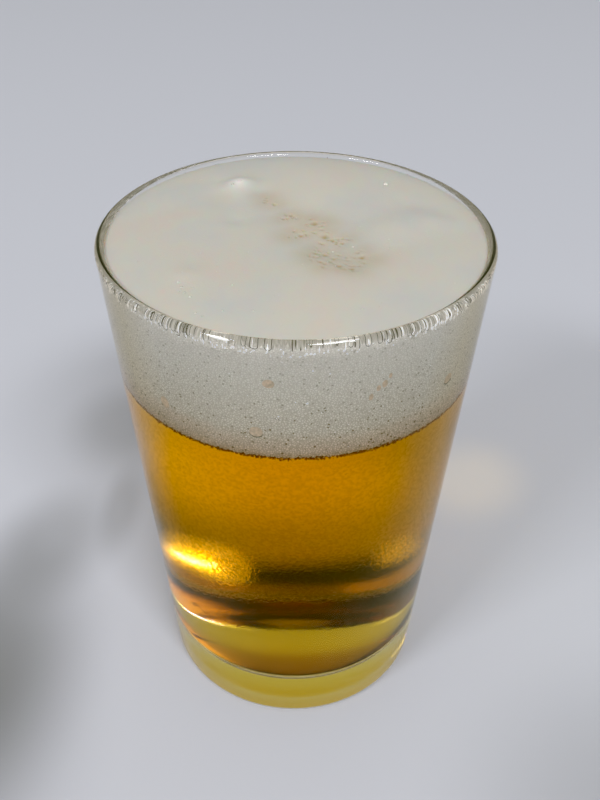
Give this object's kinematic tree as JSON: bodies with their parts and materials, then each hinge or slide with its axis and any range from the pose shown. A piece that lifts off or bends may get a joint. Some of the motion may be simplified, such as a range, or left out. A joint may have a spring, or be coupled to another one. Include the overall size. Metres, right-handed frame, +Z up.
{
  "type": "pint of beer",
  "caption": "Plain conical pint tumbler, slightly flared, filled with lager and a deep head of foam up to the brim.",
  "frame": {"origin": "centre of the glass's foot, on the surface that it stands on", "axes": "+Z up along the axis of the glass, +Y away from the viewer of the picture, +X to the viewer's right"},
  "size_m": [0.0906, 0.0906, 0.1368],
  "materials": {
    "clear_glass": "clear soda-lime glass, fire polished",
    "lager": "clear golden amber liquid",
    "foam": "dense off-white foam of fine bubbles, a little wet"
  },
  "bodies": {
    "root": {"glass": "clear_glass", "beer": "lager", "foam": "foam"}
  },
  "joints": []
}
